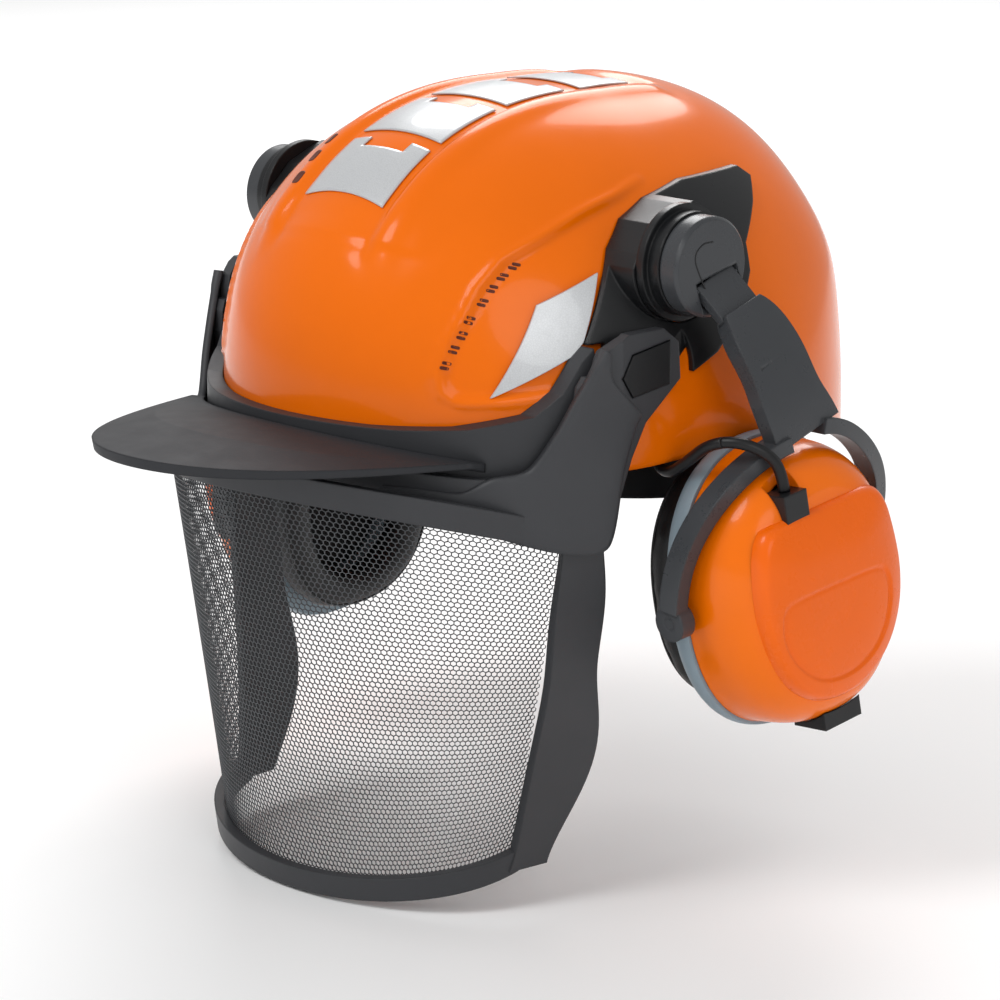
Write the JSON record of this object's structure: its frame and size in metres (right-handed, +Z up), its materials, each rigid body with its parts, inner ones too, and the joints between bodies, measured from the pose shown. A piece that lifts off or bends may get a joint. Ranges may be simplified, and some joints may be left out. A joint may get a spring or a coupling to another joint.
{
  "type": "forestry_helmet",
  "caption": "Forestry safety helmet, glossy orange shell, dark peak and drop-down mesh visor, hinged orange ear defenders, inner headband with ratchet",
  "frame": {"origin": "Centre of the head opening, level with the side rim of the shell, where the head mount is", "axes": "+Z up through the crown, -Y the way the wearer faces, +X the wearer's left"},
  "size_m": [0.3416, 0.3342, 0.2982],
  "materials": {
    "shell_orange": "glossy injection-moulded shell, fine scuffs",
    "cup_orange": "glossy ear cup",
    "cover_orange": "satin redder-orange cup panel",
    "band_grey": "fine-grained dark grey",
    "visor_grey": "fine-grained dark grey",
    "peak_grey": "fine-grained grey, matt",
    "bracket_black": "near-black, satin",
    "button_black": "near-black, fine grain",
    "reflective_silver": "silver-white retroreflective film",
    "mesh_metal": "etched metal mesh, dark grey",
    "ring_grey": "blue-grey satin",
    "cushion_black": "black foam-filled cover",
    "foam_grey": "open-cell foam",
    "speaker_black": "black",
    "pin_steel": "turned steel",
    "harness_black": "black, satin",
    "sweatband_fabric": "brushed foam-backed fabric",
    "strap_webbing": "woven webbing",
    "cable_black": "black rubber jacket",
    "board_green": "green circuit board",
    "battery_silver": "wrapped cell"
  },
  "bodies": {
    "shell": {"shell": "shell_orange", "rim_band": "band_grey", "side_bracket_left": "bracket_black", "side_bracket_right": "bracket_black", "visor_pivot_left": "bracket_black", "visor_pivot_right": "bracket_black", "reflector_crown": "reflective_silver", "reflector_left": "reflective_silver", "reflector_right": "reflective_silver", "headband": "harness_black", "sweatband": "sweatband_fabric", "crown_straps": "strap_webbing", "crown_pad": "sweatband_fabric", "harness_clips": "harness_black", "ratchet_housing": "harness_black", "nape_pad": "sweatband_fabric", "cable_rear": "cable_black", "cable_clips": "harness_black", "cable_left": "cable_black", "cable_right": "cable_black"},
    "visor": {"visor_frame": "visor_grey", "visor_peak": "peak_grey", "mesh_frame": "visor_grey", "visor_mesh": "mesh_metal"},
    "visor_button_left": {"visor_button_left": "button_black"},
    "visor_button_right": {"visor_button_right": "button_black"},
    "ratchet_knob": {"ratchet_knob": "visor_grey", "ratchet_pinion": "pin_steel"},
    "rear_strap_left": {"rear_strap_left": "harness_black"},
    "rear_strap_right": {"rear_strap_right": "harness_black"},
    "power_button": {"power_button": "button_black"},
    "hub_left": {"hub_ring_left": "bracket_black", "hub_cap_left": "bracket_black", "swing_pin_left": "pin_steel"},
    "link_left": {"swing_link_left": "bracket_black"},
    "arm_left": {"ear_arm_left": "bracket_black"},
    "cup_left": {"ear_plate_left": "ring_grey", "cup_shell_left": "cup_orange", "cup_cover_left": "cover_orange", "ear_cushion_left": "cushion_black", "foam_insert_left": "foam_grey", "speaker_left": "speaker_black", "cable_plug_left": "bracket_black", "control_panel": "button_black", "circuit_board": "board_green", "battery": "battery_silver"},
    "hub_right": {"hub_ring_right": "bracket_black", "hub_cap_right": "bracket_black", "swing_pin_right": "pin_steel"},
    "link_right": {"swing_link_right": "bracket_black"},
    "arm_right": {"ear_arm_right": "bracket_black"},
    "cup_right": {"ear_plate_right": "ring_grey", "cup_shell_right": "cup_orange", "cup_cover_right": "cover_orange", "ear_cushion_right": "cushion_black", "foam_insert_right": "foam_grey", "speaker_right": "speaker_black", "cable_plug_right": "bracket_black"}
  },
  "joints": [
    {"name": "visor_lift", "type": "hinge", "parent": "shell", "child": "visor", "pos_m": [0, -0.05, 0.0426], "axis": [-1, 0, 0], "range_deg": [0, 79]},
    {"name": "visor_button_left_press", "type": "slide", "parent": "visor", "child": "visor_button_left", "axis": [-1, 0, 0], "range_m": [0, 0.001], "stiffness_N_per_m": 700},
    {"name": "visor_button_right_press", "type": "slide", "parent": "visor", "child": "visor_button_right", "axis": [1, 0, 0], "range_m": [0, 0.001], "stiffness_N_per_m": 700},
    {"name": "hub_left_swivel", "type": "hinge", "parent": "shell", "child": "hub_left", "pos_m": [0.113, -0.028, 0.079], "axis": [-1, 0, 0], "range_deg": [0, 4]},
    {"name": "arm_left_swing", "type": "hinge", "parent": "hub_left", "child": "link_left", "pos_m": [0.11962, -0.02448, 0.07291], "axis": [0, -0.9703, -0.2419], "range_deg": [0, 16]},
    {"name": "arm_left_height", "type": "slide", "parent": "link_left", "child": "arm_left", "axis": [0.5534, 0.3257, -0.7666], "range_m": [0, 0.014], "deforming": ["cable_left"]},
    {"name": "cup_left_tilt", "type": "hinge", "parent": "arm_left", "child": "cup_left", "pos_m": [0.12698, -0.00008, -0.04245], "axis": [0, 0.9903, 0.1392], "range_deg": [-1.5, 3]},
    {"name": "hub_right_swivel", "type": "hinge", "parent": "shell", "child": "hub_right", "pos_m": [-0.113, -0.028, 0.079], "axis": [-1, 0, 0], "range_deg": [0, 4]},
    {"name": "arm_right_swing", "type": "hinge", "parent": "hub_right", "child": "link_right", "pos_m": [-0.11962, -0.02448, 0.07291], "axis": [0, 0.9703, 0.2419], "range_deg": [0, 16]},
    {"name": "arm_right_height", "type": "slide", "parent": "link_right", "child": "arm_right", "axis": [-0.5534, 0.3257, -0.7666], "range_m": [-0.013, 0.004], "deforming": ["cable_right"]},
    {"name": "cup_right_tilt", "type": "hinge", "parent": "arm_right", "child": "cup_right", "pos_m": [-0.13417, 0.00416, -0.05241], "axis": [0, 0.9903, 0.1392], "range_deg": [-3, 3]},
    {"name": "power_button_press", "type": "slide", "parent": "cup_left", "child": "power_button", "axis": [-0.0698, -0.1388, 0.9879], "range_m": [0, 0.0008], "stiffness_N_per_m": 500},
    {"name": "ratchet_turn", "type": "hinge", "parent": "shell", "child": "ratchet_knob", "pos_m": [0, 0.1114, -0.015], "axis": [0, 1, 0], "range_deg": [0, 90]},
    {"name": "strap_left_draw", "type": "hinge", "parent": "shell", "child": "rear_strap_left", "pos_m": [0, 0.018, -0.007], "axis": [0, 0, 1], "range_deg": [0, 4.8]},
    {"name": "strap_right_draw", "type": "hinge", "parent": "shell", "child": "rear_strap_right", "pos_m": [0, 0.018, -0.023], "axis": [0, 0, -1], "range_deg": [0, 4.8]}
  ],
  "couplings": [
    {"joint": "strap_left_draw", "follows": "ratchet_turn", "ratio": 0.0517},
    {"joint": "strap_right_draw", "follows": "ratchet_turn", "ratio": 0.0517}
  ]
}
